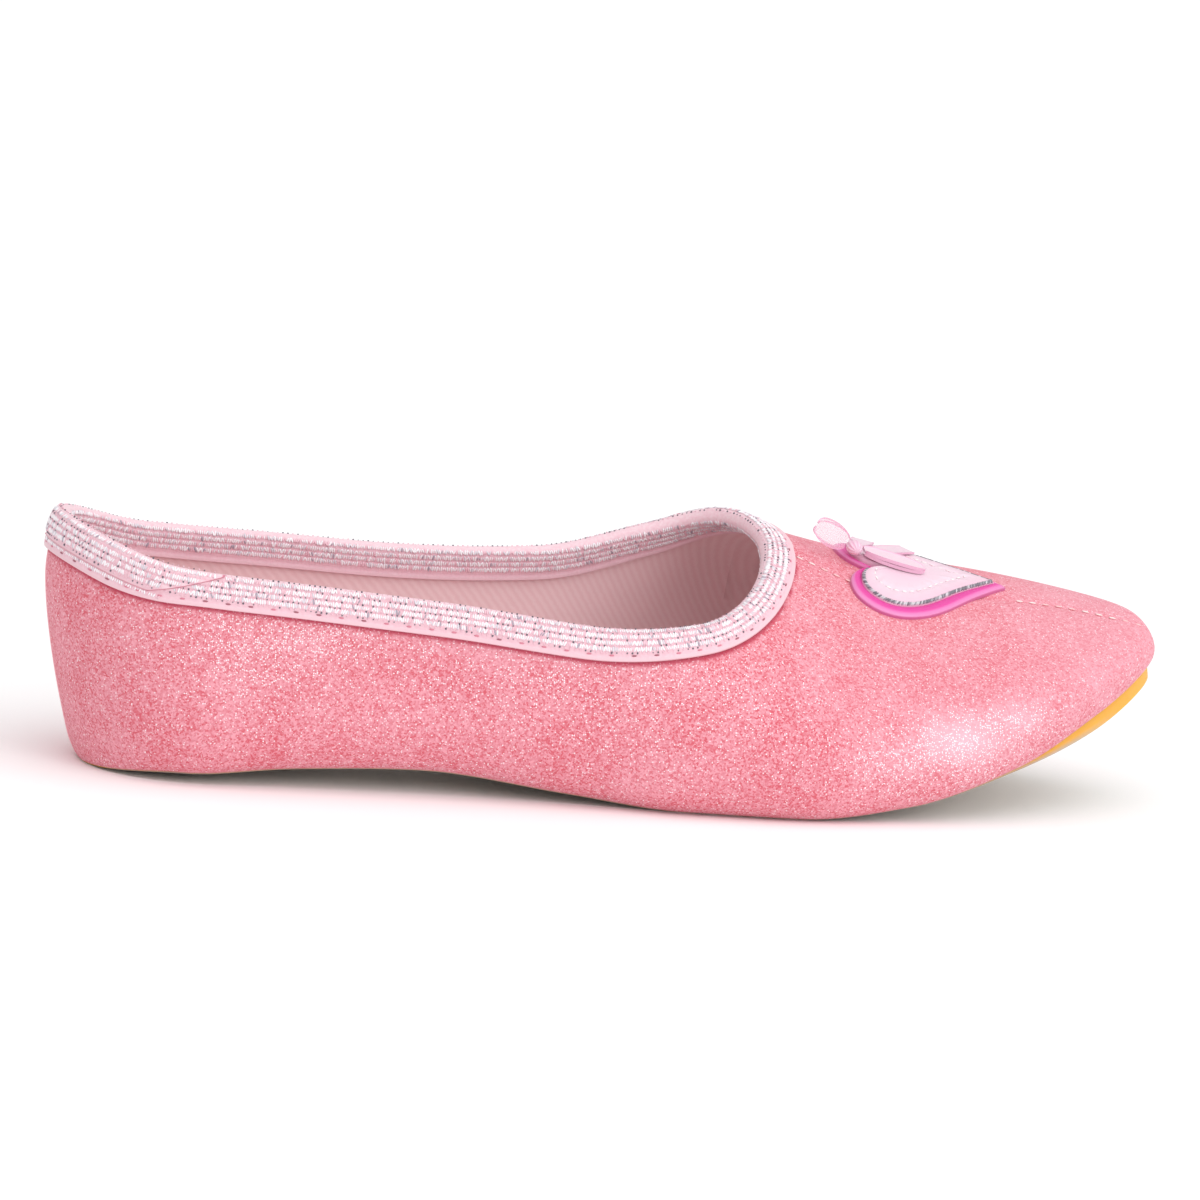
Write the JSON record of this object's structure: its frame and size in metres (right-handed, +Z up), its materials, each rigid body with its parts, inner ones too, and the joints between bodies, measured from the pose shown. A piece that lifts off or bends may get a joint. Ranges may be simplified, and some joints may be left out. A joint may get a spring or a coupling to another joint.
{
  "type": "ballet shoe",
  "caption": "Child's soft ballet slipper for the right foot: glitter velour upper, gum sole turned up at the toe, elastic collar, satin heart and ribbon bow.",
  "frame": {"origin": "on the floor under the middle of the shoe's bounding box", "axes": "+X from heel to toe, +Y to the inner side of the foot, +Z up"},
  "size_m": [0.2006, 0.0686, 0.0481],
  "materials": {
    "velour": "soft pile with fine glitter",
    "gum_rubber": "matt gum",
    "sock": "matt textile",
    "elastic": "knitted, with metallic thread",
    "satin_bright": "satin",
    "satin_pale": "padded satin",
    "organza": "sheer ribbon"
  },
  "bodies": {
    "root": {"upper": "velour", "outsole": "gum_rubber", "insole": "sock", "collar_elastic": "elastic", "heart_backing": "satin_bright", "heart_patch": "satin_pale", "bow_knot": "organza", "bow_loop_heel": "organza", "bow_loop_toe": "organza", "bow_tail_outer": "organza", "bow_tail_inner": "organza"}
  },
  "joints": []
}
